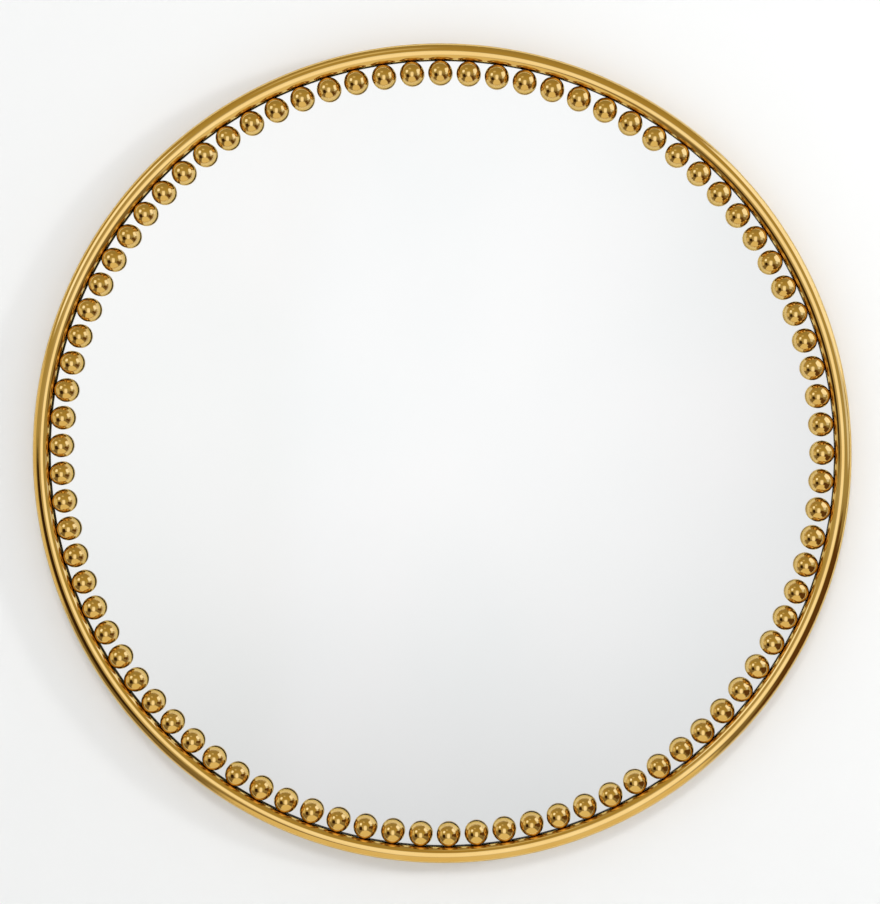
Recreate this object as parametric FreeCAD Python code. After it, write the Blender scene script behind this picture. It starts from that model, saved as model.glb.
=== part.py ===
"""Round girandole wall mirror: a polished brass rim, a ring of brass half-balls
bonded to the border of a flat silvered plate, and the plain back that such a
mirror hangs by.

Millimetres. +X right, +Z up, -Y towards the viewer. The origin is the centre of
the mirror in the plane of the wall that it hangs on (y = 0).
"""
import FreeCAD, Part
import math
import os
from FreeCAD import Vector

# ---------------------------------------------------------------- driving sizes
# Overall
outer_radius = 432.0          # 34 in mirror, over the rim
overall_depth = 38.0          # wall to the crest of the rim

# Rim: a crowned moulding brazed on the front edge of a flat hoop
moulding_width = 17.0         # seen from the front
crown_rise = 4.3              # of the crest above the moulding's two edges
moulding_edge = 2.0           # thickness left at the two edges
arris_radius = 0.6            # the polished-off sharp edges
hoop_set_in = 2.0             # hoop's outer face inside the moulding's edge
hoop_wall = 4.0
felt_thickness = 1.0          # strip glued on the hoop's rear edge

# Plate and what lies round it
cushion_thickness = 1.5       # foam tape between the moulding and the plate
cushion_set_back = 2.0        # from the moulding's inner edge, out of sight
glass_thickness = 5.0
glass_arris = 1.0             # ground off the plate's edges at 45 degrees
edge_gap = 2.0                # plate and board to the hoop, all round
foam_thickness = 2.0          # sheet between the plate and the board
board_thickness = 9.0
block_length = 60.0           # setting blocks that the plate stands on
block_angle = 30.0            # from bottom centre, to each side
block_fit = 0.1

# Half-balls
ball_diameter = 25.4
ball_gap = 4.3                # between neighbours
ball_rim_gap = 0.3            # to the moulding's inner edge
ball_nodes = 5                # the ring is split into this many nodes

# Retaining brackets
bracket_count = 8
bracket_width = 14.0
bracket_metal = 1.5
bracket_bend = 1.0            # inside radius of the bend
bracket_upright = 12.0        # along the hoop
bracket_foot = 22.0           # over the board
bracket_fit = 0.1             # flat bracket against the curved hoop
bracket_corner = 3.5          # rounded corners of the foot
upright_hole_height = 7.5     # from the board
foot_hole_reach = 14.0        # from the bracket's back

# Screws
screw_fit = 0.05              # shank to its tapped or pilot hole
hole_clearance = 0.25         # shank to the hole of what it clamps
hoop_screw_shank = 2.0        # radii
hoop_screw_head = 4.0
hoop_screw_bite = 3.0         # depth in the hoop's wall
wood_screw_shank = 1.75
wood_screw_head = 3.6
wood_screw_bite = 7.0         # depth in the board
head_height = 2.3
head_shoulder = 0.4           # straight part of the head, as a share of its height

# D-ring hangers
hanger_spread = 260.0         # pivot to the mirror's centre line
hanger_height = 230.0         # pivot above the centre
strap_width = 16.0
strap_metal = 1.5
strap_mouth = 1.3             # from the eye's rolled end to the strap's flat
strap_round = 0.45            # its end's corners, as a share of its width
strap_screw_end = 8.0         # last screw to the rounded end
strap_screw_gap = 3.2         # hanging D-ring to the first screw's head
strap_screw_pitch = 12.5
strap_screw_count = 3
ring_wire = 1.6               # radius
ring_half_width = 14.6        # wire centre line
ring_corner = 3.0
ring_side = 6.0               # pivot to the start of the bow
ring_fit = 0.3                # wire to the rolled eye

# ------------------------------------------------------------- derived places
lip_radius = outer_radius - moulding_width
hoop_outer = outer_radius - hoop_set_in
hoop_inner = hoop_outer - hoop_wall
plate_radius = hoop_inner - edge_gap

crest_y = -overall_depth
lip_y = crest_y + crown_rise + moulding_edge
glass_y = lip_y + cushion_thickness
glass_back_y = glass_y + glass_thickness
board_y = glass_back_y + foam_thickness
board_back_y = board_y + board_thickness
hoop_back_y = -felt_thickness

ball_radius = ball_diameter / 2
ball_ring_radius = lip_radius - ball_rim_gap - ball_radius
ball_count = round(2 * math.pi * ball_ring_radius / (ball_diameter + ball_gap))

bracket_back = hoop_inner - bracket_fit
eye_inner = ring_wire + ring_fit
eye_outer = eye_inner + strap_metal
pivot_y = board_back_y + eye_outer
strap_curl = 360 - math.degrees(math.acos((eye_inner - strap_mouth) / eye_outer))
ring_reach = ring_side + ring_half_width + ring_wire
strap_screw_first = ring_reach + strap_screw_gap + wood_screw_head
strap_screw_last = strap_screw_first + strap_screw_pitch * (strap_screw_count - 1)
strap_length = strap_screw_last + strap_screw_end

AXIS = Vector(0, 1, 0)
CENTRE = Vector(0, 0, 0)
snap = 0.01                   # two places this near are the same


# ------------------------------------------------------------------- helpers
def ring(inner, outer, front, back):
    """A flat ring about the mirror's axis, from radius inner to outer."""
    profile = Part.makePolygon([
        Vector(inner, front, 0),
        Vector(outer, front, 0),
        Vector(outer, back, 0),
        Vector(inner, back, 0),
        Vector(inner, front, 0),
    ])
    return Part.Face(profile).revolve(CENTRE, AXIS, 360)


def disc(radius, front, back):
    """A round plate about the mirror's axis."""
    return Part.makeCylinder(radius, back - front, Vector(0, front, 0), AXIS)


def turned(shape, degrees):
    """A copy of shape, turned about the mirror's axis; 0 is right, 90 is up."""
    copy = shape.copy()
    copy.rotate(CENTRE, AXIS, -degrees)
    return copy


def pan_screw(shank, head, bite, grip):
    """A pan-head screw along +Z: the head stands on z = 0 and the shank goes down
    through grip and then bite. The head's crown is part of a sphere."""
    shoulder = head_height * head_shoulder
    rise = head_height - shoulder
    dome = (head ** 2 + rise ** 2) / (2 * rise)
    half_turn = math.asin(head / dome) / 2
    on_crown = Vector(dome * math.sin(half_turn), 0, head_height - dome * (1 - math.cos(half_turn)))
    tip = Vector(0, 0, -grip - bite)
    edges = [
        Part.LineSegment(tip, Vector(shank, 0, tip.z)),
        Part.LineSegment(Vector(shank, 0, tip.z), Vector(shank, 0, 0)),
        Part.LineSegment(Vector(shank, 0, 0), Vector(head, 0, 0)),
        Part.LineSegment(Vector(head, 0, 0), Vector(head, 0, shoulder)),
        Part.Arc(Vector(head, 0, shoulder), on_crown, Vector(0, 0, head_height)),
        Part.LineSegment(Vector(0, 0, head_height), tip),
    ]
    wire = Part.Wire([edge.toShape() for edge in edges])
    return Part.Face(wire).revolve(CENTRE, Vector(0, 0, 1), 360)


def aimed(shape, direction, place):
    """A copy of a shape made along +Z, turned to point along direction at place."""
    copy = shape.copy()
    copy.Placement = FreeCAD.Placement(place, FreeCAD.Rotation(Vector(0, 0, 1), direction))
    return copy


def drill(radius, depth, start, direction):
    """A hole's cylinder from start along direction."""
    return Part.makeCylinder(radius, depth, start, direction)


def edges_at(shape, axis, place):
    """The edges whose two ends lie at this place on the axis named X, Y or Z."""
    return [
        edge for edge in shape.Edges
        if all(abs(getattr(end, axis) - place) < snap for end in edge.Vertexes)
    ]


def runs_along(edge, axis):
    """True for a straight edge that runs along the axis named X, Y or Z."""
    start, end = edge.Vertexes[0], edge.Vertexes[-1]
    return abs(getattr(end, axis) - getattr(start, axis)) > edge.Length - snap


# ----------------------------------------------------------------------- rim
def front_moulding():
    """The crowned bar that the viewer sees, rolled to a ring. Its section is one
    arc between two short sides, and a small arc rounds each arris: that arc
    touches the side and lies inside the crown's circle, tangent to both."""
    half_width = moulding_width / 2
    middle = lip_radius + half_width
    crown = (half_width ** 2 + crown_rise ** 2) / (2 * crown_rise)
    crown_y = crest_y + crown
    aside = half_width - arris_radius
    ahead = math.sqrt((crown - arris_radius) ** 2 - aside ** 2)
    round_y = crown_y - ahead
    stretch = crown / (crown - arris_radius)
    lean = (math.pi / 2 + math.asin(aside / (crown - arris_radius))) / 2

    def across(side, offset, y):
        return Vector(middle + side * offset, y, 0)

    def arris(side):
        start = across(side, half_width, round_y)
        mid = across(
            side,
            aside + arris_radius * math.sin(lean),
            round_y - arris_radius * math.cos(lean),
        )
        end = across(side, aside * stretch, crown_y - ahead * stretch)
        return start, mid, end

    outer_start, outer_mid, outer_end = arris(1)
    inner_start, inner_mid, inner_end = arris(-1)
    outer_foot = across(1, half_width, lip_y)
    inner_foot = across(-1, half_width, lip_y)
    edges = [
        Part.LineSegment(inner_foot, outer_foot),
        Part.LineSegment(outer_foot, outer_start),
        Part.Arc(outer_start, outer_mid, outer_end),
        Part.Arc(outer_end, across(1, 0, crest_y), inner_end),
        Part.Arc(inner_end, inner_mid, inner_start),
        Part.LineSegment(inner_start, inner_foot),
    ]
    wire = Part.Wire([edge.toShape() for edge in edges])
    return Part.Face(wire).revolve(CENTRE, AXIS, 360)


def side_hoop():
    """The flat hoop behind the moulding, tapped for the brackets' screws."""
    hoop = ring(hoop_inner, hoop_outer, lip_y, hoop_back_y)
    tapped = drill(
        hoop_screw_shank + screw_fit,
        hoop_screw_bite + screw_fit + bracket_fit,
        Vector(hoop_inner - bracket_fit, board_back_y + upright_hole_height, 0),
        Vector(1, 0, 0),
    )
    return hoop.cut([turned(tapped, angle) for angle in bracket_angles()])


def wall_felt():
    """The felt strip that the rim meets the wall with."""
    return ring(hoop_inner, hoop_outer, hoop_back_y, 0)


# ------------------------------------------------------------ plate and pack
def mirror_plate():
    """The silvered plate, with its two edges ground off."""
    plate = disc(plate_radius, glass_y, glass_back_y)
    rims = [edge for edge in plate.Edges if isinstance(edge.Curve, Part.Circle)]
    return plate.makeChamfer(glass_arris, rims)


def lip_cushion():
    """Foam tape between the moulding's inside and the plate."""
    return ring(lip_radius + cushion_set_back, plate_radius, lip_y, glass_y)


def setting_blocks():
    """The two blocks between the plate's lower edge and the hoop."""
    inner = plate_radius + block_fit
    outer = hoop_inner - block_fit
    section = Part.makePolygon([
        Vector(inner, glass_y, 0),
        Vector(outer, glass_y, 0),
        Vector(outer, glass_back_y, 0),
        Vector(inner, glass_back_y, 0),
        Vector(inner, glass_y, 0),
    ])
    spread = math.degrees(block_length / plate_radius)
    block = turned(Part.Face(section).revolve(CENTRE, AXIS, spread), spread / 2)
    bottom = 270
    return [turned(block, bottom - block_angle), turned(block, bottom + block_angle)]


def foam_sheet():
    """The soft sheet that keeps the board off the silvering."""
    return disc(plate_radius, glass_back_y, board_y)


def backing_board():
    """The board, with pilot holes for the brackets' and the hangers' screws."""
    board = disc(plate_radius, board_y, board_back_y)
    radius = wood_screw_shank + screw_fit
    depth = wood_screw_bite + screw_fit
    forward = Vector(0, -1, 0)
    foot = Vector(bracket_back - foot_hole_reach, board_back_y, 0)
    holes = [turned(drill(radius, depth, foot, forward), angle) for angle in bracket_angles()]
    for side in (-1, 1):
        for drop in strap_screw_drops():
            start = Vector(side * hanger_spread, board_back_y, hanger_height - drop)
            holes.append(drill(radius, depth, start, forward))
    return board.cut(holes)


# ---------------------------------------------------------------- half-balls
def half_ball(angle):
    """One half-ball, its flat on the plate, at this angle round the ring."""
    ball = Part.makeSphere(ball_radius, Vector(0, 0, 0), Vector(0, -1, 0), 0, 90, 360)
    ball.translate(Vector(ball_ring_radius, glass_y, 0))
    return turned(ball, angle)


def half_ball_group(number):
    """The half-balls of one node: an unbroken run, the first from top centre."""
    top = 90
    group = []
    for index in range(ball_count):
        if index * ball_nodes // ball_count == number:
            group.append(half_ball(top - index * 360 / ball_count))
    return group


# ---------------------------------------------------------------- retainers
def bracket_angles():
    """Evenly round the hoop, half a step off the horizontal."""
    step = 360 / bracket_count
    return [step * (index + 0.5) for index in range(bracket_count)]


def bracket():
    """A folded bracket: its upright on the hoop, its foot on the board."""
    back = bracket_back
    inner = back - bracket_metal
    foot_end = back - bracket_foot
    floor = board_back_y
    top = floor + bracket_metal
    outside = bracket_bend + bracket_metal
    slant = 1 - math.sqrt(0.5)
    edges = [
        Part.LineSegment(Vector(foot_end, floor, 0), Vector(back - outside, floor, 0)),
        Part.Arc(
            Vector(back - outside, floor, 0),
            Vector(back - outside * slant, floor + outside * slant, 0),
            Vector(back, floor + outside, 0),
        ),
        Part.LineSegment(Vector(back, floor + outside, 0), Vector(back, floor + bracket_upright, 0)),
        Part.LineSegment(
            Vector(back, floor + bracket_upright, 0), Vector(inner, floor + bracket_upright, 0)
        ),
        Part.LineSegment(
            Vector(inner, floor + bracket_upright, 0), Vector(inner, top + bracket_bend, 0)
        ),
        Part.Arc(
            Vector(inner, top + bracket_bend, 0),
            Vector(inner - bracket_bend * slant, top + bracket_bend * slant, 0),
            Vector(inner - bracket_bend, top, 0),
        ),
        Part.LineSegment(Vector(inner - bracket_bend, top, 0), Vector(foot_end, top, 0)),
        Part.LineSegment(Vector(foot_end, top, 0), Vector(foot_end, floor, 0)),
    ]
    profile = Part.Face(Part.Wire([edge.toShape() for edge in edges]))
    body = profile.extrude(Vector(0, 0, bracket_width))
    body.translate(Vector(0, 0, -bracket_width / 2))
    corners = [edge for edge in edges_at(body, "X", foot_end) if runs_along(edge, "Y")]
    body = body.makeFillet(bracket_corner, corners)
    upright_hole = drill(
        hoop_screw_shank + hole_clearance,
        bracket_foot,
        Vector(foot_end, floor + upright_hole_height, 0),
        Vector(1, 0, 0),
    )
    foot_hole = drill(
        wood_screw_shank + hole_clearance,
        bracket_upright,
        Vector(back - foot_hole_reach, floor - bracket_metal, 0),
        AXIS,
    )
    return body.cut([upright_hole, foot_hole])


def retaining_brackets():
    """The brackets that hold the board, the plate and the rim together."""
    one = bracket()
    return [turned(one, angle) for angle in bracket_angles()]


def hoop_screws():
    """Machine screws from each bracket into the hoop's wall."""
    screw = pan_screw(hoop_screw_shank, hoop_screw_head, hoop_screw_bite, bracket_metal)
    seat = Vector(bracket_back - bracket_metal, board_back_y + upright_hole_height, 0)
    one = aimed(screw, Vector(-1, 0, 0), seat)
    return [turned(one, angle) for angle in bracket_angles()]


def board_screws():
    """Wood screws from each bracket into the board."""
    screw = pan_screw(wood_screw_shank, wood_screw_head, wood_screw_bite, bracket_metal)
    seat = Vector(bracket_back - foot_hole_reach, board_back_y + bracket_metal, 0)
    one = aimed(screw, AXIS, seat)
    return [turned(one, angle) for angle in bracket_angles()]


# ------------------------------------------------------------------- hangers
def strap_screw_drops():
    """Distances of the strap's screws below the pivot."""
    return [strap_screw_first + strap_screw_pitch * index for index in range(strap_screw_count)]


def eye_point(radius, degrees):
    """A point of the rolled eye, counted from its side on the board, over the top. The
    eye is rolled until its end stands strap_mouth off the strap's flat."""
    turn = math.radians(degrees)
    return Vector(0, eye_outer - radius * math.cos(turn), radius * math.sin(turn))


def hanger_strap(side):
    """A steel strap, its upper end rolled into the eye that holds the D-ring."""
    half = strap_curl / 2
    edges = [
        Part.LineSegment(Vector(0, 0, -strap_length), eye_point(eye_outer, 0)),
        Part.Arc(eye_point(eye_outer, 0), eye_point(eye_outer, half), eye_point(eye_outer, strap_curl)),
        Part.LineSegment(eye_point(eye_outer, strap_curl), eye_point(eye_inner, strap_curl)),
        Part.Arc(eye_point(eye_inner, strap_curl), eye_point(eye_inner, half), eye_point(eye_inner, 0)),
        Part.LineSegment(eye_point(eye_inner, 0), Vector(0, strap_metal, -strap_length)),
        Part.LineSegment(Vector(0, strap_metal, -strap_length), Vector(0, 0, -strap_length)),
    ]
    profile = Part.Face(Part.Wire([edge.toShape() for edge in edges]))
    strap = profile.extrude(Vector(strap_width, 0, 0))
    strap.translate(Vector(-strap_width / 2, 0, 0))
    corners = [edge for edge in edges_at(strap, "Z", -strap_length) if runs_along(edge, "Y")]
    strap = strap.makeFillet(strap_width * strap_round, corners)
    holes = [
        drill(wood_screw_shank + hole_clearance, 2 * strap_metal, Vector(0, -strap_metal / 2, -drop), AXIS)
        for drop in strap_screw_drops()
    ]
    strap = strap.cut(holes)
    strap.translate(Vector(side * hanger_spread, board_back_y, hanger_height))
    return strap


def hanger_ring(side):
    """A D-ring of round wire: its straight bar lies in the eye, its bow hangs."""
    width = ring_half_width
    bend = ring_corner
    slant = bend * (1 - math.sqrt(0.5))
    edges = [
        Part.LineSegment(Vector(bend - width, 0, 0), Vector(width - bend, 0, 0)),
        Part.Arc(Vector(width - bend, 0, 0), Vector(width - slant, 0, -slant), Vector(width, 0, -bend)),
        Part.LineSegment(Vector(width, 0, -bend), Vector(width, 0, -ring_side)),
        Part.Arc(
            Vector(width, 0, -ring_side), Vector(0, 0, -ring_side - width), Vector(-width, 0, -ring_side)
        ),
        Part.LineSegment(Vector(-width, 0, -ring_side), Vector(-width, 0, -bend)),
        Part.Arc(Vector(-width, 0, -bend), Vector(slant - width, 0, -slant), Vector(bend - width, 0, 0)),
    ]
    path = Part.Wire([edge.toShape() for edge in edges])
    section = Part.Wire(Part.makeCircle(ring_wire, Vector(bend - width, 0, 0), Vector(1, 0, 0)))
    wire = path.makePipeShell([section], True, True)
    wire.translate(Vector(side * hanger_spread, pivot_y, hanger_height))
    return wire


def hanger_screws():
    """Wood screws of both straps."""
    screw = pan_screw(wood_screw_shank, wood_screw_head, wood_screw_bite, strap_metal)
    screws = []
    for side in (-1, 1):
        for drop in strap_screw_drops():
            seat = Vector(side * hanger_spread, board_back_y + strap_metal, hanger_height - drop)
            screws.append(aimed(screw, AXIS, seat))
    return screws


# --------------------------------------------------------------------- write
def all_parts():
    """Every node's name with its solid or its list of solids."""
    left = -1
    right = 1
    parts = {
        "front_moulding": front_moulding(),
        "side_hoop": side_hoop(),
        "wall_felt": wall_felt(),
        "mirror_plate": mirror_plate(),
        "lip_cushion": lip_cushion(),
        "setting_blocks": setting_blocks(),
        "foam_sheet": foam_sheet(),
        "backing_board": backing_board(),
        "retaining_brackets": retaining_brackets(),
        "hoop_screws": hoop_screws(),
        "board_screws": board_screws(),
        "hanger_strap_left": hanger_strap(left),
        "hanger_strap_right": hanger_strap(right),
        "hanger_ring_left": hanger_ring(left),
        "hanger_ring_right": hanger_ring(right),
        "hanger_screws": hanger_screws(),
    }
    for number in range(ball_nodes):
        parts[f"half_balls_{number + 1}"] = half_ball_group(number)
    return parts


def main():
    os.makedirs("parts", exist_ok=True)
    for name, shape in all_parts().items():
        if isinstance(shape, list):
            shape = Part.makeCompound(shape)
        shape.exportStep(f"parts/{name}.step")


main()
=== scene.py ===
"""The looks of a round girandole wall mirror: polished brass rim and half-balls,
silvered plate, and the plain back with its board, brackets and D-ring hangers.

Metres. +X right, +Z up, -Y towards the viewer, and the wall is the plane y = 0.
"""

import math

import bmesh
import bpy
from mathutils import Matrix, Vector


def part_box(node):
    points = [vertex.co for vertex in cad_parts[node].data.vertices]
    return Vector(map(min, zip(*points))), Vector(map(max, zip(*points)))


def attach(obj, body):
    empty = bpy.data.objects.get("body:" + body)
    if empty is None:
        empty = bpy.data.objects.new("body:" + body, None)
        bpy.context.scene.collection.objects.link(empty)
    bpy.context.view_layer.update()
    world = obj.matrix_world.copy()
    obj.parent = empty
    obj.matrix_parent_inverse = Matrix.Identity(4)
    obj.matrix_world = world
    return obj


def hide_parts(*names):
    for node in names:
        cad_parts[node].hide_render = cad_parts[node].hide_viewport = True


bl_info = {
    "name": "Girandole mirror",
    "version": (1, 0, 0),
    "blender": (4, 5, 0),
    "location": "3D View > Sidebar > Mirror",
    "description": "Builds the pieces, finishes and studio of a round girandole wall mirror",
    "category": "Object",
}

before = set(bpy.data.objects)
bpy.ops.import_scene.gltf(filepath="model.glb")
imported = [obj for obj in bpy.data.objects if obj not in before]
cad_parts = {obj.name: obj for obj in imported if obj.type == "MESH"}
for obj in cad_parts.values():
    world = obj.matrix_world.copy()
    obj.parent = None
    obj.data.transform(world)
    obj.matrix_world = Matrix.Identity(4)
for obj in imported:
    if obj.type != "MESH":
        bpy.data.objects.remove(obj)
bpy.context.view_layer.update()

MM = 0.001
SAME = 0.01 * MM              # two places this near are the same
FIXED = "mirror"              # the body of every piece but the D-rings
SIDES = ("left", "right")
BALL_NODES = sorted(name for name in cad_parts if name.startswith("half_balls"))
HEAD_HEIGHT = 2.3 * MM        # every screw's head has the CAD's height
HEAD_SHOULDER = 0.4           # the straight part of a head, as a share of its height
RECESS_TURN = 2.4             # radians from one screw's recess to the next one's


# ------------------------------------------------------------ reading the frame
def depth(node):
    """The node's front and back, as places on Y."""
    low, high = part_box(node)
    return low.y, high.y


def radii(node):
    """The node's least and greatest distance from the mirror's axis."""
    spans = [math.hypot(v.co.x, v.co.z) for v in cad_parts[node].data.vertices]
    return min(spans), max(spans)


def solids(node):
    """The node's separate solids, each as a list of its points."""
    mesh = bmesh.new()
    mesh.from_mesh(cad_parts[node].data)
    bmesh.ops.remove_doubles(mesh, verts=mesh.verts, dist=SAME)
    seen = set()
    found = []
    for start in mesh.verts:
        if start in seen:
            continue
        seen.add(start)
        waiting = [start]
        points = []
        while waiting:
            vert = waiting.pop()
            points.append(vert.co.copy())
            for edge in vert.link_edges:
                other = edge.other_vert(vert)
                if other not in seen:
                    seen.add(other)
                    waiting.append(other)
        found.append(points)
    mesh.free()
    return found


# ----------------------------------------------------------------- mesh helpers
def new_object(name, mesh, materials):
    """A piece from a bmesh or a mesh, with these materials in its slots."""
    if isinstance(mesh, bmesh.types.BMesh):
        data = bpy.data.meshes.new(name)
        mesh.to_mesh(data)
        mesh.free()
    else:
        data = mesh
    for material in materials:
        data.materials.append(material)
    piece = bpy.data.objects.new(name, data)
    bpy.context.scene.collection.objects.link(piece)
    return piece


def dress(piece, body, slot, *nodes):
    """The piece rides on its body and stands for these nodes. slot is not used."""
    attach(piece, body)
    if nodes:
        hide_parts(*nodes)


def arc(centre, radius, start, end, steps):
    """Points of an arc in a plane, its angles in degrees, both ends included."""
    points = []
    for step in range(steps + 1):
        turn = math.radians(start + (end - start) * step / steps)
        points.append((centre[0] + radius * math.cos(turn), centre[1] + radius * math.sin(turn)))
    return points


def lathe(mesh, profile, segments, closed, place=Matrix.Identity(4), slots=None):
    """Turns a profile of (radius, height) points about +Z of place, as smooth quads.
    A closed profile is a ring's section; an open one starts and ends on the axis.
    slots gives each run of the profile its material's index."""
    rings = []
    for radius, height in profile:
        if radius < SAME:
            rings.append([mesh.verts.new(place @ Vector((0, 0, height)))])
            continue
        ring = []
        for step in range(segments):
            turn = math.tau * step / segments
            spot = Vector((radius * math.cos(turn), radius * math.sin(turn), height))
            ring.append(mesh.verts.new(place @ spot))
        rings.append(ring)
    runs = len(profile) if closed else len(profile) - 1
    for run in range(runs):
        here = rings[run]
        there = rings[(run + 1) % len(rings)]
        for step in range(segments):
            after = (step + 1) % segments
            corners = [here[step % len(here)], there[step % len(there)]]
            if len(there) > 1:
                corners.append(there[after])
            if len(here) > 1:
                corners.append(here[after])
            face = mesh.faces.new(corners)
            face.smooth = True
            if slots:
                face.material_index = slots[run]


def sweep(mesh, path, radius, steps):
    """A closed round tube along a flat closed path in the XZ plane."""
    count = len(path)
    rings = []
    for index, point in enumerate(path):
        along = (path[(index + 1) % count] - path[index - 1]).normalized()
        across = Vector((-along.z, 0, along.x))
        ring = []
        for step in range(steps):
            turn = math.tau * step / steps
            offset = across * math.cos(turn) + Vector((0, 1, 0)) * math.sin(turn)
            ring.append(mesh.verts.new(point + offset * radius))
        rings.append(ring)
    for index in range(count):
        here = rings[index]
        there = rings[(index + 1) % count]
        for step in range(steps):
            after = (step + 1) % steps
            face = mesh.faces.new((here[step], there[step], there[after], here[after]))
            face.smooth = True
    bmesh.ops.recalc_face_normals(mesh, faces=mesh.faces)


def sharpen(mesh, degrees):
    """Marks the edges that turn by more than this as sharp, and sets the normals out."""
    bmesh.ops.recalc_face_normals(mesh, faces=mesh.faces)
    limit = math.radians(degrees)
    for edge in mesh.edges:
        if len(edge.link_faces) == 2 and edge.calc_face_angle(0) > limit:
            edge.smooth = False


def facing(direction, place):
    """The matrix that turns +Z to direction and moves the origin to place."""
    turn = Vector(direction).to_track_quat("Z", "Y").to_matrix().to_4x4()
    return Matrix.Translation(place) @ turn


# -------------------------------------------------------------- material helpers
def linear(code):
    """An sRGB hex code as a linear colour with alpha."""
    channels = [int(code[place:place + 2], 16) / 255 for place in (1, 3, 5)]
    bent = [c / 12.92 if c <= 0.04045 else ((c + 0.055) / 1.055) ** 2.4 for c in channels]
    return (*bent, 1)


def add(tree, kind, inputs=None, **settings):
    """Adds a node with its settings. inputs maps a socket's name or index to a value
    or to the socket that feeds it."""
    node = tree.nodes.new(kind)
    for name, value in settings.items():
        setattr(node, name, value)
    for name, value in (inputs or {}).items():
        if isinstance(value, bpy.types.NodeSocket):
            tree.links.new(value, node.inputs[name])
        else:
            node.inputs[name].default_value = value
    return node


def new_material(name):
    """A material with an empty tree but for its output."""
    material = bpy.data.materials.new(name)
    material.use_nodes = True
    tree = material.node_tree
    tree.nodes.clear()
    output = add(tree, "ShaderNodeOutputMaterial")
    return material, tree, output


def per_metre(millimetres):
    """The noise scale that gives features of this size."""
    return 1 / (millimetres * MM)


def colour_stops(ramp, stops):
    """Sets a ramp's stops from (place, sRGB hex) pairs."""
    marks = ramp.color_ramp.elements
    while len(marks) < len(stops):
        marks.new(0.5)
    for mark, (place, code) in zip(marks, stops):
        mark.position = place
        mark.color = linear(code)


# --------------------------------------------------------------------- finishes
def polished_brass():
    """Brass, rolled and turned, buffed to a mirror polish and lacquered. The eye gets
    sharp warm reflections, a slight wobble in them and a faint haze left by the mop."""
    settings = bpy.context.scene.mirror_brass
    material, tree, output = new_material("Polished lacquered brass")
    place = add(tree, "ShaderNodeTexCoord").outputs["Object"]
    tone = add(tree, "ShaderNodeTexNoise", {
        "Vector": place, "Scale": per_metre(45), "Detail": 2.0,
    })
    colour = add(tree, "ShaderNodeValToRGB", {"Fac": tone.outputs["Fac"]})
    colour_stops(colour, ((0.3, settings.brass_shade), (0.7, settings.brass)))
    haze = add(tree, "ShaderNodeTexNoise", {
        "Vector": place, "Scale": per_metre(3), "Detail": 3.0,
    })
    rough = add(tree, "ShaderNodeMapRange", {
        "Value": haze.outputs["Fac"], "From Min": 0.35, "From Max": 0.75,
        "To Min": settings.brass_polish, "To Max": settings.brass_haze,
    })
    wobble = add(tree, "ShaderNodeTexNoise", {
        "Vector": place, "Scale": per_metre(14), "Detail": 1.0,
    })
    bump = add(tree, "ShaderNodeBump", {
        "Height": wobble.outputs["Fac"], "Strength": 1.0, "Distance": 0.03 * MM,
    })
    metal = add(tree, "ShaderNodeBsdfPrincipled", {
        "Base Color": colour.outputs["Color"], "Metallic": 1.0,
        "Roughness": rough.outputs["Result"], "Normal": bump.outputs["Normal"],
        "Specular Tint": linear(settings.brass_edge),
    })
    tree.links.new(metal.outputs["BSDF"], output.inputs["Surface"])
    return material


def float_glass(name, shade, bright, patch, roughness):
    """Float glass. patch is the size, in millimetres, of its slight changes of tint."""
    material, tree, output = new_material(name)
    place = add(tree, "ShaderNodeTexCoord").outputs["Object"]
    grit = add(tree, "ShaderNodeTexNoise", {
        "Vector": place, "Scale": per_metre(patch), "Detail": 2.0,
    })
    tint = add(tree, "ShaderNodeValToRGB", {"Fac": grit.outputs["Fac"]})
    colour_stops(tint, ((0.3, shade), (0.7, bright)))
    glass = add(tree, "ShaderNodeBsdfPrincipled", {
        "Base Color": tint.outputs["Color"], "IOR": 1.52, "Transmission Weight": 1.0,
        "Roughness": roughness,
    })
    tree.links.new(glass.outputs["BSDF"], output.inputs["Surface"])
    return material


def clear_glass():
    """Float glass as it leaves the tin: colourless, with a sharp image."""
    return float_glass("Clear float glass", "#FDFEFE", "#FFFFFF", 180, 0.0)


def ground_glass():
    """Float glass where its edge was ground with a belt: frosted and grey-green."""
    return float_glass("Ground glass edge", "#C4D4CC", "#DDE8E2", 0.8, 0.45)


def silvering():
    """Silver, deposited wet on the glass: a flawless mirror, a little cool."""
    material, tree, output = new_material("Wet silvering")
    place = add(tree, "ShaderNodeTexCoord").outputs["Object"]
    cloud = add(tree, "ShaderNodeTexNoise", {
        "Vector": place, "Scale": per_metre(220), "Detail": 1.0,
    })
    tint = add(tree, "ShaderNodeValToRGB", {"Fac": cloud.outputs["Fac"]})
    colour_stops(tint, ((0.3, "#F9FAFA"), (0.7, "#FCFCFC")))
    metal = add(tree, "ShaderNodeBsdfPrincipled", {
        "Base Color": tint.outputs["Color"], "Metallic": 1.0, "Roughness": 0.0,
    })
    tree.links.new(metal.outputs["BSDF"], output.inputs["Surface"])
    return material


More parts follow.
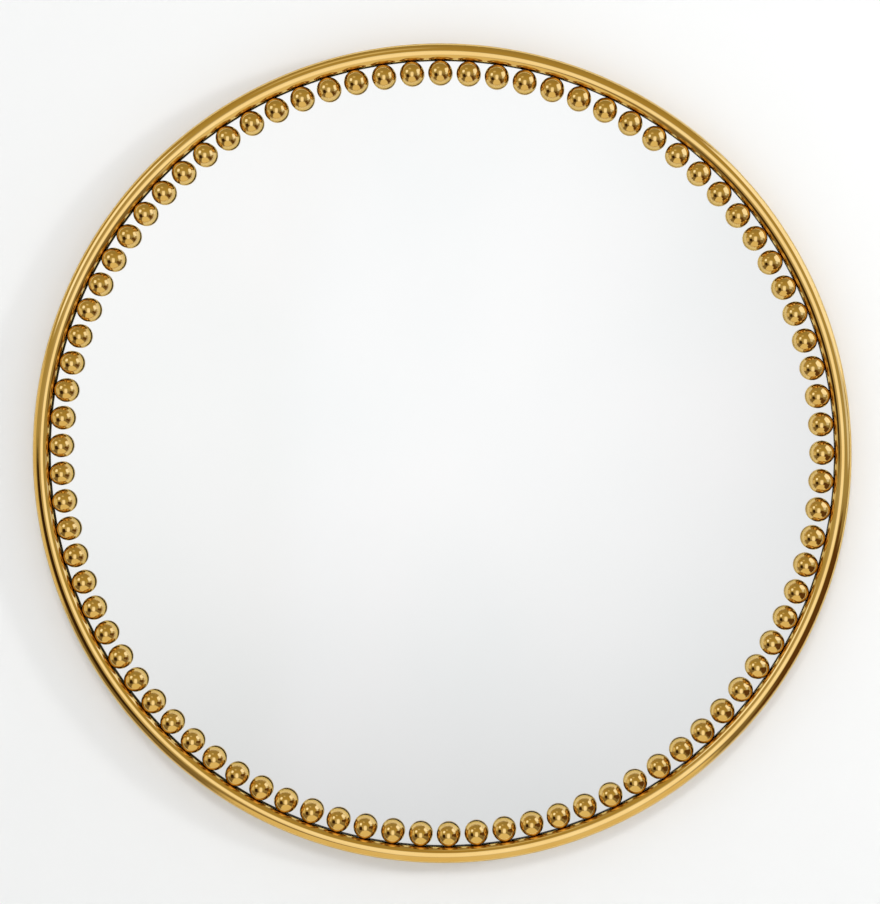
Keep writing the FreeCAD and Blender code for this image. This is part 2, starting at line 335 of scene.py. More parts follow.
def cellular(name, dark, light, cell, roughness, relief):
    """A foamed or ground and pressed sheet: dull, with a fine pattern of cells or grains.
    cell is their size and relief their depth, both in millimetres."""
    material, tree, output = new_material(name)
    place = add(tree, "ShaderNodeTexCoord").outputs["Object"]
    cells = add(tree, "ShaderNodeTexVoronoi", {"Vector": place, "Scale": per_metre(cell)})
    tint = add(tree, "ShaderNodeValToRGB", {"Fac": cells.outputs["Distance"]})
    colour_stops(tint, ((0.1, light), (0.7, dark)))
    bump = add(tree, "ShaderNodeBump", {
        "Height": cells.outputs["Distance"], "Strength": 0.6, "Distance": relief * MM,
    })
    body = add(tree, "ShaderNodeBsdfPrincipled", {
        "Base Color": tint.outputs["Color"], "Roughness": roughness,
        "Normal": bump.outputs["Normal"],
    })
    tree.links.new(body.outputs["BSDF"], output.inputs["Surface"])
    return material


def fibreboard():
    """Medium-density fibreboard, pressed and sanded: pale brown, with short darker
    fibres lying every way and a soft cloudy tone from the press. Real fibres are finer:
    these are drawn coarser, so that they show."""
    material, tree, output = new_material("Pressed fibreboard")
    place = add(tree, "ShaderNodeTexCoord").outputs["Object"]
    cloud = add(tree, "ShaderNodeTexNoise", {
        "Vector": place, "Scale": per_metre(25), "Detail": 5.0,
    })
    base = add(tree, "ShaderNodeValToRGB", {"Fac": cloud.outputs["Fac"]})
    colour_stops(base, ((0.2, "#AF8E68"), (0.8, "#B89872")))
    fibre = add(tree, "ShaderNodeTexNoise", {
        "Vector": place, "Scale": per_metre(2.6), "Detail": 6.0, "Roughness": 0.75,
        "Distortion": 3.0,
    })
    speck = add(tree, "ShaderNodeValToRGB", {"Fac": fibre.outputs["Fac"]})
    colour_stops(speck, ((0.36, "#7A5C3E"), (0.5, "#FFFFFF")))
    mixed = add(tree, "ShaderNodeMix", {
        "Factor": 0.42, "A": base.outputs["Color"], "B": speck.outputs["Color"],
    }, data_type="RGBA", blend_type="MULTIPLY")
    bump = add(tree, "ShaderNodeBump", {
        "Height": fibre.outputs["Fac"], "Strength": 0.5, "Distance": 0.15 * MM,
    })
    body = add(tree, "ShaderNodeBsdfPrincipled", {
        "Base Color": mixed.outputs["Result"], "Roughness": 0.82,
        "Normal": bump.outputs["Normal"],
    })
    tree.links.new(body.outputs["BSDF"], output.inputs["Surface"])
    return material


def zinc_steel():
    """Cold-rolled steel, stamped and bright zinc plated: grey with a blue and straw
    bloom from the passivation, and a broad soft sheen."""
    material, tree, output = new_material("Zinc plated steel")
    place = add(tree, "ShaderNodeTexCoord").outputs["Object"]
    bloom = add(tree, "ShaderNodeTexNoise", {
        "Vector": place, "Scale": per_metre(9), "Detail": 3.0,
    })
    tint = add(tree, "ShaderNodeValToRGB", {"Fac": bloom.outputs["Fac"]})
    colour_stops(tint, ((0.32, "#B4BBC6"), (0.52, "#C6C8C8"), (0.7, "#D0C8AC")))
    grain = add(tree, "ShaderNodeTexNoise", {
        "Vector": place, "Scale": per_metre(0.5), "Detail": 2.0,
    })
    rough = add(tree, "ShaderNodeMapRange", {
        "Value": grain.outputs["Fac"], "To Min": 0.24, "To Max": 0.46,
    })
    bump = add(tree, "ShaderNodeBump", {
        "Height": grain.outputs["Fac"], "Strength": 0.4, "Distance": 0.02 * MM,
    })
    metal = add(tree, "ShaderNodeBsdfPrincipled", {
        "Base Color": tint.outputs["Color"], "Metallic": 1.0,
        "Roughness": rough.outputs["Result"], "Normal": bump.outputs["Normal"],
    })
    tree.links.new(metal.outputs["BSDF"], output.inputs["Surface"])
    return material


def nickel_wire():
    """Drawn steel wire, bent and nickel plated: bright and a little warm, with fine
    scuffs where it has been handled."""
    material, tree, output = new_material("Nickel plated wire")
    place = add(tree, "ShaderNodeTexCoord").outputs["Object"]
    scuff = add(tree, "ShaderNodeTexNoise", {
        "Vector": place, "Scale": per_metre(1.2), "Detail": 4.0,
    })
    tint = add(tree, "ShaderNodeValToRGB", {"Fac": scuff.outputs["Fac"]})
    colour_stops(tint, ((0.3, "#B9B3A8"), (0.7, "#D3CDC2")))
    rough = add(tree, "ShaderNodeMapRange", {
        "Value": scuff.outputs["Fac"], "To Min": 0.08, "To Max": 0.32,
    })
    metal = add(tree, "ShaderNodeBsdfPrincipled", {
        "Base Color": tint.outputs["Color"], "Metallic": 1.0,
        "Roughness": rough.outputs["Result"],
    })
    tree.links.new(metal.outputs["BSDF"], output.inputs["Surface"])
    return material


def wool_felt():
    """Pressed wool felt: matted grey fibres with a soft fuzz that catches the light."""
    material, tree, output = new_material("Pressed wool felt")
    place = add(tree, "ShaderNodeTexCoord").outputs["Object"]
    fibre = add(tree, "ShaderNodeTexNoise", {
        "Vector": place, "Scale": per_metre(0.7), "Detail": 5.0, "Distortion": 1.5,
    })
    tint = add(tree, "ShaderNodeValToRGB", {"Fac": fibre.outputs["Fac"]})
    colour_stops(tint, ((0.3, "#4A4A4C"), (0.7, "#8A8A8B")))
    bump = add(tree, "ShaderNodeBump", {
        "Height": fibre.outputs["Fac"], "Strength": 0.8, "Distance": 0.25 * MM,
    })
    body = add(tree, "ShaderNodeBsdfPrincipled", {
        "Base Color": tint.outputs["Color"], "Roughness": 0.95, "Sheen Weight": 0.4,
        "Sheen Roughness": 0.6, "Normal": bump.outputs["Normal"],
    })
    tree.links.new(body.outputs["BSDF"], output.inputs["Surface"])
    return material


def foam_tape():
    """Closed-cell foam tape, extruded: matt black with fine shut cells."""
    return cellular("Closed-cell foam tape", "#0A0A0B", "#232325", 0.5, 0.9, 0.1)


def cork_rubber():
    """Cork granules pressed in rubber: dark, with brown grains."""
    return cellular("Cork rubber", "#1C1815", "#5A4636", 1.4, 0.8, 0.2)


def foam_sheet():
    """Polyethylene foam sheet, blown: off-white, with larger shut cells."""
    return cellular("Polyethylene foam sheet", "#C9C9C4", "#EDEDEA", 1.0, 0.7, 0.2)


FINISHES = {
    "polished_brass": polished_brass,
    "black_foam": foam_tape,
    "cork_rubber": cork_rubber,
    "white_foam": foam_sheet,
    "fibreboard": fibreboard,
    "zinc_steel": zinc_steel,
    "nickel_wire": nickel_wire,
    "grey_felt": wool_felt,
}
made_finishes = {}


def finish(slot):
    """The finish of this record slot, made when it is first asked for."""
    if slot not in made_finishes:
        made_finishes[slot] = FINISHES[slot]()
    return made_finishes[slot]


def carry_over(node, slot):
    """Gives a CAD node, whose shape stays, its finish."""
    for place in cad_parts[node].material_slots:
        place.material = finish(slot)


# --------------------------------------------------------------------- settings
class BrassSettings(bpy.types.PropertyGroup):
    """The brass of the rim and the half-balls."""

    brass: bpy.props.StringProperty(
        name="Brass", description="Colour of the bright brass, as sRGB hex", default="#F1CE88"
    )
    brass_shade: bpy.props.StringProperty(
        name="Brass shade", description="Colour of its deeper patches, as sRGB hex",
        default="#ECC67C"
    )
    brass_edge: bpy.props.StringProperty(
        name="Brass edge", description="Its tint where the view grazes it, as sRGB hex",
        default="#BDB48C"
    )
    brass_polish: bpy.props.FloatProperty(
        name="Polish", description="Roughness where the mop left it cleanest",
        default=0.045, min=0, max=1, subtype="FACTOR"
    )
    brass_haze: bpy.props.FloatProperty(
        name="Haze", description="Roughness where a faint haze is left",
        default=0.09, min=0, max=1, subtype="FACTOR"
    )


class RimSettings(bpy.types.PropertyGroup):
    """The front moulding."""

    segments: bpy.props.IntProperty(
        name="Segments", description="Steps round the rim", default=720, min=90
    )
    crown_steps: bpy.props.IntProperty(
        name="Crown steps", description="Steps across the moulding's crown", default=48, min=12
    )


class BallSettings(bpy.types.PropertyGroup):
    """The half-balls."""

    bond: bpy.props.FloatProperty(
        name="Bond", description="Clear adhesive between a half-ball and the plate",
        default=0.05 * MM, unit="LENGTH", subtype="DISTANCE"
    )
    arris: bpy.props.FloatProperty(
        name="Foot arris", description="Radius round the edge of the flat foot",
        default=0.25 * MM, unit="LENGTH", subtype="DISTANCE"
    )
    segments: bpy.props.IntProperty(
        name="Segments", description="Steps round each half-ball", default=64, min=16
    )


class PlateSettings(bpy.types.PropertyGroup):
    """The mirror plate."""

    arris: bpy.props.FloatProperty(
        name="Arris", description="Width ground off the plate's edges",
        default=1.0 * MM, unit="LENGTH", subtype="DISTANCE"
    )
    paint: bpy.props.FloatProperty(
        name="Paint", description="Thickness of the backing paint behind the silver",
        default=0.05 * MM, unit="LENGTH", subtype="DISTANCE"
    )
    segments: bpy.props.IntProperty(
        name="Segments", description="Steps round the plate", default=360, min=90
    )


class ScrewSettings(bpy.types.PropertyGroup):
    """The recess in the screws' heads."""

    wing: bpy.props.FloatProperty(
        name="Wing", description="Width of one wing of the cross recess",
        default=1.0 * MM, unit="LENGTH", subtype="DISTANCE"
    )
    span: bpy.props.FloatProperty(
        name="Span", description="Between the ends of two opposite wings, at the head's top",
        default=4.4 * MM, unit="LENGTH", subtype="DISTANCE"
    )
    foot: bpy.props.FloatProperty(
        name="Foot", description="The same span at the recess's bottom",
        default=1.6 * MM, unit="LENGTH", subtype="DISTANCE"
    )
    depth: bpy.props.FloatProperty(
        name="Depth", description="Depth of the cross recess",
        default=1.6 * MM, unit="LENGTH", subtype="DISTANCE"
    )


class RingSettings(bpy.types.PropertyGroup):
    """The D-rings."""

    corner: bpy.props.FloatProperty(
        name="Corner", description="Radius of the wire's two corners beside the bar",
        default=3.0 * MM, unit="LENGTH", subtype="DISTANCE"
    )


class StudioSettings(bpy.types.PropertyGroup):
    """The camera and the light."""

    azimuth: bpy.props.FloatProperty(
        name="Azimuth", description="The camera's place to the right of the mirror's axis",
        default=math.radians(3.36), subtype="ANGLE"
    )
    elevation: bpy.props.FloatProperty(
        name="Elevation", description="The camera's place above the mirror's axis",
        default=math.radians(2.14), subtype="ANGLE"
    )
    roll: bpy.props.FloatProperty(
        name="Roll", description="Turn of the camera about its own line of sight",
        default=math.radians(0.43), subtype="ANGLE"
    )
    distance: bpy.props.FloatProperty(
        name="Distance", description="From the camera to the plate",
        default=2.108, unit="LENGTH", subtype="DISTANCE"
    )
    wall: bpy.props.StringProperty(
        name="Wall", description="Colour of the wall, as sRGB hex", default="#F4F4F3"
    )


GROUPS = {
    "mirror_brass": BrassSettings,
    "mirror_rim": RimSettings,
    "mirror_balls": BallSettings,
    "mirror_plate": PlateSettings,
    "mirror_screws": ScrewSettings,
    "mirror_rings": RingSettings,
    "mirror_studio": StudioSettings,
}


# ----------------------------------------------------------------------- pieces
class MIRROR_OT_rim(bpy.types.Operator):
    """Builds the crowned front moulding, and finishes the hoop and felt behind it"""

    bl_idname = "mirror.rim"
    bl_label = "Rim"

    def execute(self, context):
        settings = context.scene.mirror_rim
        inner, outer = radii("front_moulding")
        crest, back = depth("front_moulding")
        half_width = (outer - inner) / 2
        middle = (outer + inner) / 2
        # half an ellipse: a low crown with well rounded shoulders
        profile = [
            (middle + half_width * across, (back - crest) * ahead)
            for across, ahead in arc((0, 0), 1, 180, 0, settings.crown_steps)
        ]
        mesh = bmesh.new()
        place = facing((0, -1, 0), (0, back, 0))
        lathe(mesh, profile, settings.segments, closed=True, place=place)
        sharpen(mesh, degrees=40)
        moulding = new_object("front_moulding_polished", mesh, [finish("polished_brass")])
        dress(moulding, FIXED, "polished_brass", "front_moulding")
        carry_over("side_hoop", "polished_brass")
        carry_over("wall_felt", "grey_felt")
        return {"FINISHED"}


class MIRROR_OT_half_balls(bpy.types.Operator):
    """Builds the ring of polished half-balls, one piece for each CAD node"""

    bl_idname = "mirror.half_balls"
    bl_label = "Half-balls"

    def execute(self, context):
        settings = context.scene.mirror_balls
        arris = settings.arris
        low = settings.bond
        arris_steps, dome_steps = 4, 24
        for node in BALL_NODES:
            crown, foot = depth(node)
            radius = foot - crown
            # the arris runs into the dome where both turn by the same angle
            side = math.degrees(math.asin((low + arris) / (radius - arris)))
            arris_centre = ((radius - arris) * math.cos(math.radians(side)), low + arris)
            profile = [(0, low), (arris_centre[0], low)]
            profile += arc(arris_centre, arris, -90, side, arris_steps)[1:-1]
            profile += arc((0, 0), radius, side, 90, dome_steps)[:-1]
            profile.append((0, radius))
            mesh = bmesh.new()
            for points in solids(node):
                at_foot = [point for point in points if point.y > foot - SAME]
                middle = sum(at_foot, Vector()) / len(at_foot)
                place = facing((0, -1, 0), (middle.x, foot, middle.z))
                lathe(mesh, profile, settings.segments, closed=False, place=place)
            sharpen(mesh, degrees=50)
            piece = new_object(node + "_polished", mesh, [finish("polished_brass")])
            dress(piece, FIXED, "polished_brass", node)
        return {"FINISHED"}


class MIRROR_OT_plate(bpy.types.Operator):
    """Builds the silvered plate, and finishes what lies round and behind it"""

    bl_idname = "mirror.plate"
    bl_label = "Mirror plate"

    def execute(self, context):
        settings = context.scene.mirror_plate
        arris = settings.arris
        front, back = depth("mirror_plate")
        back -= settings.paint
        radius = radii("mirror_plate")[1]
        thick = back - front
        clear, ground, silver = 0, 1, 2
        profile = [
            (0, 0), (radius - arris, 0), (radius, arris), (radius, thick - arris),
            (radius - arris, thick), (0, thick),
        ]
        slots = [silver, ground, ground, ground, clear]
        mesh = bmesh.new()
        place = facing((0, -1, 0), (0, back, 0))
        lathe(mesh, profile, settings.segments, closed=False, place=place, slots=slots)
        sharpen(mesh, degrees=20)
        materials = [clear_glass(), ground_glass(), silvering()]
        plate = new_object("mirror_plate_silvered", mesh, materials)
        dress(plate, FIXED, "silvered_glass", "mirror_plate")
        carry_over("lip_cushion", "black_foam")
        carry_over("setting_blocks", "cork_rubber")
        carry_over("foam_sheet", "white_foam")
        return {"FINISHED"}


class MIRROR_OT_back(bpy.types.Operator):
    """Finishes the backing board and the brackets that hold it"""

    bl_idname = "mirror.back"
    bl_label = "Board and brackets"

    def execute(self, context):
        carry_over("backing_board", "fibreboard")
        carry_over("retaining_brackets", "zinc_steel")
        return {"FINISHED"}


def pan_head_screw(settings, head, shank, length):
    """One pan-head screw as a mesh, from the radii of its head and shank: its head
    stands on z = 0, and its cross recess is cut with two crossed tapered wings."""
    rise = HEAD_HEIGHT * (1 - HEAD_SHOULDER)
    dome = (head ** 2 + rise ** 2) / (2 * rise)
    lean = math.degrees(math.asin(head / dome))
    profile = [(0, -length), (shank, -length), (shank, 0), (head, 0)]
    profile += arc((0, HEAD_HEIGHT - dome), dome, 90 - lean, 90, steps=8)[:-1]
    profile.append((0, HEAD_HEIGHT))
    body = bmesh.new()
    lathe(body, profile, segments=32, closed=False)
    sharpen(body, degrees=35)
    screw = new_object("screw_blank", body, [])
    tool = bmesh.new()
    for turn in (0, 90):
        wing = Matrix.Rotation(math.radians(turn), 4, "Z")
        made = bmesh.ops.create_cube(tool, size=1)
        for vert in made["verts"]:
            # a wing is wide at the top of the head and narrows to its foot
            half_span = settings.span / 2 if vert.co.z > 0 else settings.foot / 2
            level = HEAD_HEIGHT if vert.co.z > 0 else HEAD_HEIGHT - settings.depth
            across = math.copysign(half_span, vert.co.x)
            vert.co = wing @ Vector((across, math.copysign(settings.wing / 2, vert.co.y), level))
    cutter = new_object("screw_recess", tool, [])
    cut = screw.modifiers.new("recess", "BOOLEAN")
    cut.operation = "DIFFERENCE"
    cut.solver = "EXACT"
    cut.use_self = True
    cut.object = cutter
    graph = bpy.context.evaluated_depsgraph_get()
    result = bpy.data.meshes.new_from_object(screw.evaluated_get(graph))
    for spare in (screw, cutter):
        bpy.data.objects.remove(spare)
    recessed = bmesh.new()
    recessed.from_mesh(result)
    sharpen(recessed, degrees=30)
    recessed.to_mesh(result)
    recessed.free()
    return result


def place_screws(settings, node, head, shank, axis):
    """Builds the screws of one node, each where its CAD solid is. axis gives the way
    that a solid's head faces, from the solid's middle."""
    found = solids(node)
    out = axis(sum(found[0], Vector()) / len(found[0]))
    spans = [point.dot(out) for point in found[0]]
    length = max(spans) - min(spans) - HEAD_HEIGHT
    blank = pan_head_screw(settings, head, shank, length)
    mesh = bmesh.new()
    for number, points in enumerate(found):
        centre = sum(points, Vector()) / len(points)
        out = axis(centre)
        top = max(point.dot(out) for point in points)
        seat = centre + out * (top - centre.dot(out) - HEAD_HEIGHT)
        one = blank.copy()
        # no two screws stop with their recess at the same angle
        spin = Matrix.Rotation(RECESS_TURN * number, 4, "Z")
        one.transform(facing(out, seat) @ spin)
        mesh.from_mesh(one)
        bpy.data.meshes.remove(one)
    bpy.data.meshes.remove(blank)
    piece = new_object(node + "_recessed", mesh, [finish("zinc_steel")])
    dress(piece, FIXED, "zinc_steel", node)


class MIRROR_OT_screws(bpy.types.Operator):
    """Builds every screw of the back, with its cross recess"""

    bl_idname = "mirror.screws"
    bl_label = "Screws"

    def execute(self, context):
        settings = context.scene.mirror_screws

        def inwards(centre):
            return -Vector((centre.x, 0, centre.z)).normalized()

        def backwards(centre):
            return Vector((0, 1, 0))

        # each node, the radii of its screws' heads and shanks, and the way they face
        kinds = (
            ("hoop_screws", 4.0 * MM, 2.0 * MM, inwards),
            ("board_screws", 3.6 * MM, 1.75 * MM, backwards),
            ("hanger_screws", 3.6 * MM, 1.75 * MM, backwards),
        )
        for node, head, shank, axis in kinds:
            place_screws(settings, node, head, shank, axis)
        return {"FINISHED"}


class MIRROR_OT_hangers(bpy.types.Operator):
    """Builds the D-rings of round wire and finishes their straps"""

    bl_idname = "mirror.hangers"
    bl_label = "D-ring hangers"

    def execute(self, context):
        corner = context.scene.mirror_rings.corner
        corner_steps, bow_steps, wire_steps = 8, 48, 24
        for side in SIDES:
            node = "hanger_ring_" + side
            low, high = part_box(node)
            wire = (high.y - low.y) / 2
            half = (high.x - low.x) / 2 - wire
            middle = (low.x + high.x) / 2
            bar = high.z - wire
            bow = low.z + wire + half
            path = arc((half - corner, -corner), corner, 90, 0, corner_steps)
            path += arc((0, bow - bar), half, 0, -180, bow_steps)
            path += arc((corner - half, -corner), corner, 180, 90, corner_steps)
            mesh = bmesh.new()
            sweep(mesh, [Vector((x, 0, z)) for x, z in path], wire, wire_steps)
            shift = Vector((middle, (low.y + high.y) / 2, bar))
            bmesh.ops.translate(mesh, verts=mesh.verts, vec=shift)
            ring = new_object(node + "_wire", mesh, [finish("nickel_wire")])
            dress(ring, "ring_" + side, "nickel_wire", node)
            carry_over("hanger_strap_" + side, "zinc_steel")
        return {"FINISHED"}


# ----------------------------------------------------------------------- studio
def card(name, place, width, height, colour, strength, aim=Vector((0, 0, 0)), fade=0.0,
         shines=True, clear=True):
    """A lit or dark card that only shows in reflections, such as a studio's softboxes
    and flags. It faces aim, and its edge is soft. fade is how far its light falls off
    outwards. shines lets the metal reflect it, and clear lets the glass."""
    mesh = bmesh.new()
    bmesh.ops.create_grid(mesh, x_segments=1, y_segments=1, size=0.5)
    bmesh.ops.scale(mesh, verts=mesh.verts, vec=(width, height, 1))
    material, tree, output = new_material(name)
    spot = add(tree, "ShaderNodeTexCoord").outputs["Object"]
    shrink = add(tree, "ShaderNodeVectorMath", {
        0: spot, 1: (2 / width, 2 / height, 0),
    }, operation="MULTIPLY")
    # the fourth powers make a rectangle with well rounded corners
    square = add(tree, "ShaderNodeVectorMath", {
        0: shrink.outputs[0], 1: shrink.outputs[0],
    }, operation="MULTIPLY")
    fourth = add(tree, "ShaderNodeVectorMath", {
        0: square.outputs[0], 1: square.outputs[0],
    }, operation="DOT_PRODUCT")
    reach = add(tree, "ShaderNodeMath", {0: fourth.outputs["Value"], 1: 0.25}, operation="POWER")
    level = strength
    if fade:
        level = add(tree, "ShaderNodeMapRange", {
            "Value": reach.outputs["Value"], "From Min": 0.2, "From Max": 1.2,
            "To Min": strength, "To Max": strength * (1 - fade),
        }, interpolation_type="SMOOTHSTEP").outputs["Result"]
    edge = add(tree, "ShaderNodeMapRange", {
        "Value": reach.outputs["Value"], "From Min": 0.78, "From Max": 1.0,
    }, interpolation_type="SMOOTHSTEP")
    light = add(tree, "ShaderNodeEmission", {
        "Color": linear(colour), "Strength": level,
    })
    nothing = add(tree, "ShaderNodeBsdfTransparent")
    mixed = add(tree, "ShaderNodeMixShader", {
        0: edge.outputs["Result"], 1: light.outputs["Emission"], 2: nothing.outputs["BSDF"],
    })
    tree.links.new(mixed.outputs["Shader"], output.inputs["Surface"])
    piece = new_object(name, mesh, [material])
    piece.matrix_world = facing(aim - Vector(place), place)
    piece.visible_camera = False
    piece.visible_diffuse = False
    piece.visible_shadow = False
    piece.visible_glossy = shines
    piece.visible_transmission = clear


def lamp(name, way, distance, size, power):
    """A round soft lamp that lies this way from the mirror and shows in no reflection."""
    light = bpy.data.lights.new(name, "AREA")
    light.shape = "DISK"
    light.size = size
    light.energy = power
    piece = bpy.data.objects.new(name, light)
    bpy.context.scene.collection.objects.link(piece)
    place = Vector(way) * distance
    piece.matrix_world = facing(place, place)
    piece.visible_camera = False
    piece.visible_glossy = False
    piece.visible_transmission = False


def wall_paint(code):
    """Matt wall paint. It is seen from the room's side only, so that a view from
    behind shows the mirror's back."""
    material, tree, output = new_material("Matt wall paint")
    place = add(tree, "ShaderNodeTexCoord").outputs["Object"]
    roller = add(tree, "ShaderNodeTexNoise", {
        "Vector": place, "Scale": per_metre(2.5), "Detail": 2.0,
    })
    bump = add(tree, "ShaderNodeBump", {
        "Height": roller.outputs["Fac"], "Strength": 0.1, "Distance": 0.05 * MM,
    })
    paint = add(tree, "ShaderNodeBsdfDiffuse", {
        "Color": linear(code), "Normal": bump.outputs["Normal"],
    })
    through = add(tree, "ShaderNodeBsdfTransparent")
    behind = add(tree, "ShaderNodeNewGeometry").outputs["Backfacing"]
    mixed = add(tree, "ShaderNodeMixShader", {
        0: behind, 1: paint.outputs["BSDF"], 2: through.outputs["BSDF"],
    })
    tree.links.new(mixed.outputs["Shader"], output.inputs["Surface"])
    return material


class MIRROR_OT_stage(bpy.types.Operator):
    """Builds the wall, the floor, the light and the camera"""

    bl_idname = "mirror.stage"
    bl_label = "Studio"

    def execute(self, context):
        studio = context.scene.mirror_studio
        self.wall(studio)
        self.floor()
        self.cards()
        self.lamps()
        self.world()
        self.camera(context, studio)
        return {"FINISHED"}

    def wall(self, studio):
        """A wall with a round opening that the mirror covers, which lets light reach
        the mirror's back."""
        opening = radii("side_hoop")[0]
        half = 3.0
        steps = 180
        behind_felt = 1.0 * MM
        mesh = bmesh.new()
        inner = []
        outer = []
        for step in range(steps):
            turn = math.tau * step / steps
            across, up = math.cos(turn), math.sin(turn)
            stretch = half / max(abs(across), abs(up))
            inner.append(mesh.verts.new((opening * across, 0, opening * up)))
            outer.append(mesh.verts.new((stretch * across, 0, stretch * up)))
        for step in range(steps):
            after = (step + 1) % steps
            mesh.faces.new((inner[step], outer[step], outer[after], inner[after]))
        wall = new_object("wall", mesh, [wall_paint(studio.wall)])
        wall.location.y = behind_felt
        for face in wall.data.polygons:
            if face.normal.y > 0:
                face.flip()

    def floor(self):
        """A pale floor, well below the mirror, that fades into the backdrop."""
        drop = 2.0
        half = 4.0
        mesh = bmesh.new()
        bmesh.ops.create_grid(mesh, x_segments=1, y_segments=1, size=half)
        material, tree, output = new_material("Pale studio floor")
        place = add(tree, "ShaderNodeTexCoord").outputs["Object"]
        cloud = add(tree, "ShaderNodeTexNoise", {
            "Vector": place, "Scale": per_metre(400), "Detail": 2.0,
        })
        tint = add(tree, "ShaderNodeValToRGB", {"Fac": cloud.outputs["Fac"]})
        colour_stops(tint, ((0.3, "#EDEDEB"), (0.7, "#F3F3F1")))
        paint = add(tree, "ShaderNodeBsdfDiffuse", {"Color": tint.outputs["Color"]})
        span = add(tree, "ShaderNodeVectorMath", {0: place}, operation="LENGTH")
        fading = add(tree, "ShaderNodeMapRange", {
            "Value": span.outputs["Value"], "From Min": half / 2, "From Max": half,
        }, interpolation_type="SMOOTHSTEP")
        backdrop = add(tree, "ShaderNodeBsdfTransparent")
        mixed = add(tree, "ShaderNodeMixShader", {
            0: fading.outputs["Result"], 1: paint.outputs["BSDF"], 2: backdrop.outputs["BSDF"],
        })
        tree.links.new(mixed.outputs["Shader"], output.inputs["Surface"])
        floor = new_object("floor", mesh, [material])
        floor.location.z = -drop
        floor.visible_glossy = False
        floor.visible_transmission = False

    def cards(self):
        """What the brass and the glass reflect. The glass sees only the screen. Each card
        has its middle, width, height, colour and strength."""
        warm, cool, dark = "#E6DAB4", "#E9EFFF", "#6A4A24"
        above_runner = Vector((0.15, -1.6, 0))
        card("screen", (-0.5, -3.2, 0.55), 4.4, 4.4, "#FFFFFF", 1.0, fade=0.42, shines=False)
        card("window", (0.25, -3.2, -0.45), 1.9, 3.1, "#FFFFFF", 1.15, fade=0.25, clear=False)
        card("surround", (-0.1, -3.4, -0.15), 3.2, 2.7, warm, 0.62, clear=False)
        card("runner", (0.15, -1.6, -2.0), 3.4, 3.9, warm, 1.02, above_runner, clear=False)
        card("ceiling_glow", (-0.5, -1.3, 1.5), 0.9, 0.6, warm, 0.95, fade=0.4, clear=False)
        card("right_softbox", (1.17, -0.31, 0.66), 1.3, 1.05, cool, 1.4, clear=False)
        card("right_fill", (1.3, -0.6, 0.2), 0.6, 0.6, cool, 0.95, clear=False)
        card("left_softbox", (-1.78, -1.72, 1.0), 1.15, 1.15, cool, 1.45, clear=False)
        card("left_fill", (-1.4, -0.3, -0.15), 0.8, 1.0, warm, 0.95, clear=False)
        card("left_flag", (-1.4, -1.65, -0.62), 1.25, 1.3, dark, 0.25, clear=False)
        card("right_flag", (0.78, -0.26, -0.4), 0.55, 0.5, dark, 0.8, clear=False)
        card("front_flag", (0.82, -0.75, -0.36), 0.55, 0.48, dark, 0.8, clear=False)

    def lamps(self):
        """Two soft lamps that cast the mirror's shadows on the wall, one from the right
        and one from the front and above, and one behind that lights the back. Each has
        its way, distance, size and watts."""
        lamp("right_lamp", (0.83, -0.52, 0.19), 3.2, 0.4, 20)
        lamp("front_lamp", (0.04, -0.92, 0.39), 3.0, 0.6, 17)
        lamp("back_lamp", (-0.5, 0.75, 0.45), 3.0, 1.2, 60)

    def world(self):
        """A soft room. Metal shows it warm in front of the wall and neutral behind it, and
        glass shows it pale."""
        world = bpy.data.worlds.new("Studio room")
        bpy.context.scene.world = world
        world.use_nodes = True
        tree = world.node_tree
        tree.nodes.clear()
        way = add(tree, "ShaderNodeTexCoord").outputs["Generated"]
        parts = add(tree, "ShaderNodeSeparateXYZ", {"Vector": way})
        height = add(tree, "ShaderNodeMapRange", {
            "Value": parts.outputs["Z"], "From Min": -1.0, "From Max": 1.0,
        })
        room = add(tree, "ShaderNodeValToRGB", {"Fac": height.outputs["Result"]})
        colour_stops(room, (
            (0.0, "#766A50"), (0.3, "#8A7C5B"), (0.5, "#B0A67C"), (0.65, "#B3A264"),
            (0.85, "#AC985A"), (1.0, "#9E9267"),
        ))
        rear = add(tree, "ShaderNodeValToRGB", {"Fac": height.outputs["Result"]})
        colour_stops(rear, (
            (0.2, "#74777A"), (0.5, "#B4B7BA"), (0.62, "#F2F4F5"), (0.9, "#C9CCCE"),
        ))
        behind = add(tree, "ShaderNodeMath", {
            0: parts.outputs["Y"], 1: 0.0,
        }, operation="GREATER_THAN")
        sides = add(tree, "ShaderNodeMix", {
            "Factor": behind.outputs["Value"], "A": room.outputs["Color"],
            "B": rear.outputs["Color"],
        }, data_type="RGBA")
        path = add(tree, "ShaderNodeLightPath")
        warm = add(tree, "ShaderNodeBackground", {"Color": sides.outputs["Result"]})
        pale = add(tree, "ShaderNodeBackground", {"Color": linear("#F5F5F5")})
        dim = add(tree, "ShaderNodeBackground", {"Color": linear("#E3E4E5")})
        seen = add(tree, "ShaderNodeMath", {
            0: path.outputs["Is Camera Ray"], 1: path.outputs["Is Transmission Ray"],
        }, operation="MAXIMUM")
        shiny = add(tree, "ShaderNodeMixShader", {
            0: path.outputs["Is Glossy Ray"], 1: dim.outputs["Background"],
            2: warm.outputs["Background"],
        })
        mixed = add(tree, "ShaderNodeMixShader", {
            0: seen.outputs["Value"], 1: shiny.outputs["Shader"], 2: pale.outputs["Background"],
        })
        output = add(tree, "ShaderNodeOutputWorld")
        tree.links.new(mixed.outputs["Shader"], output.inputs["Surface"])

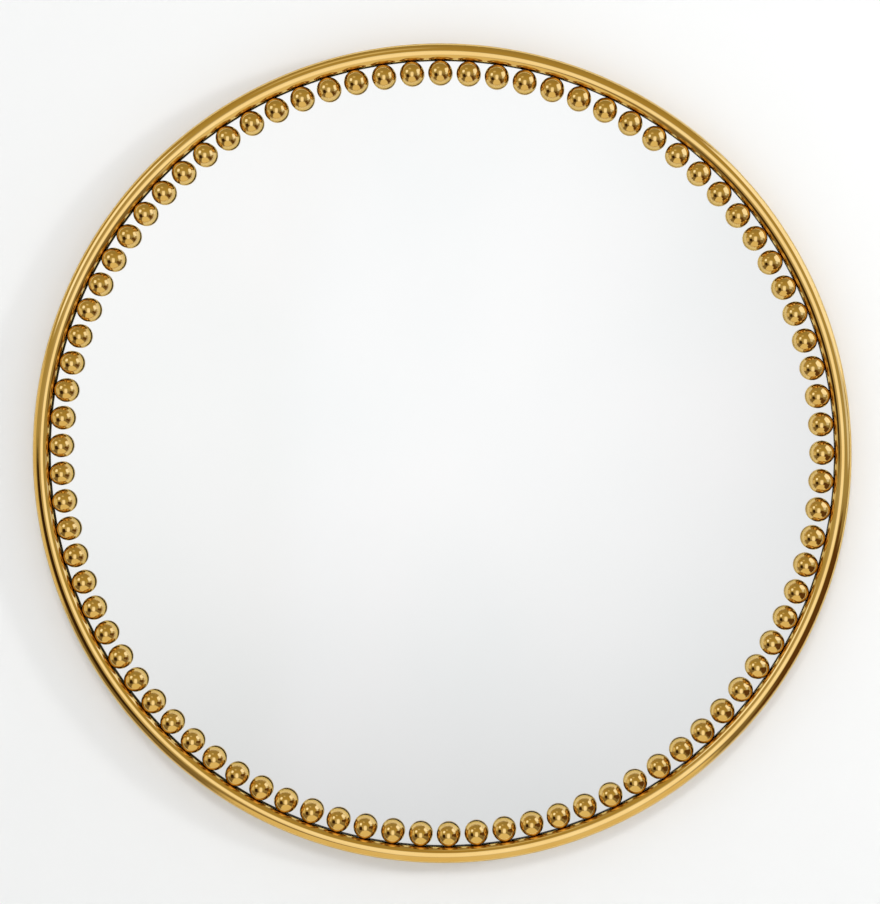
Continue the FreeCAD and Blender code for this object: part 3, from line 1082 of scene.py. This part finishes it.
    def camera(self, context, studio):
        """The photograph's viewpoint. Its long side is the sensor's 36 mm."""
        frame_height = 904
        pixel_on_plate = 1.0542 * MM
        data = bpy.data.cameras.new("camera")
        data.sensor_width = 36
        data.lens = data.sensor_width * studio.distance / (frame_height * pixel_on_plate)
        camera = bpy.data.objects.new("camera", data)
        context.scene.collection.objects.link(camera)
        back = Vector((
            math.sin(studio.azimuth) * math.cos(studio.elevation),
            -math.cos(studio.azimuth) * math.cos(studio.elevation),
            math.sin(studio.elevation),
        ))
        # the photograph's middle falls here, on the plate's face
        aim = Vector((2.75 * MM, depth("mirror_plate")[0], 4.44 * MM))
        turn = (-back).to_track_quat("-Z", "Y").to_matrix().to_4x4()
        roll = Matrix.Rotation(studio.roll, 4, "Z")
        camera.matrix_world = Matrix.Translation(aim + back * studio.distance) @ turn @ roll
        context.scene.camera = camera
        context.scene.view_settings.view_transform = "Standard"


class MIRROR_PT_panel(bpy.types.Panel):
    """Lists the mirror's operators and settings"""

    bl_idname = "MIRROR_PT_panel"
    bl_label = "Girandole mirror"
    bl_space_type = "VIEW_3D"
    bl_region_type = "UI"
    bl_category = "Mirror"

    def draw(self, context):
        for operator in OPERATORS:
            self.layout.operator(operator.bl_idname)
        for name in GROUPS:
            box = self.layout.box()
            group = getattr(context.scene, name)
            for field in group.bl_rna.properties:
                if not field.is_readonly and field.identifier != "name":
                    box.prop(group, field.identifier)


OPERATORS = (
    MIRROR_OT_stage, MIRROR_OT_rim, MIRROR_OT_half_balls, MIRROR_OT_plate,
    MIRROR_OT_back, MIRROR_OT_screws, MIRROR_OT_hangers,
)
CLASSES = (*GROUPS.values(), *OPERATORS, MIRROR_PT_panel)


def register():
    for kind in CLASSES:
        bpy.utils.register_class(kind)
    for name, group in GROUPS.items():
        setattr(bpy.types.Scene, name, bpy.props.PointerProperty(type=group))


def unregister():
    for name in GROUPS:
        delattr(bpy.types.Scene, name)
    for kind in reversed(CLASSES):
        bpy.utils.unregister_class(kind)


def main():
    """Builds every piece."""
    register()
    for operator in OPERATORS:
        section, action = operator.bl_idname.split(".")
        getattr(getattr(bpy.ops, section), action)()


if __name__ == "__main__":
    main()
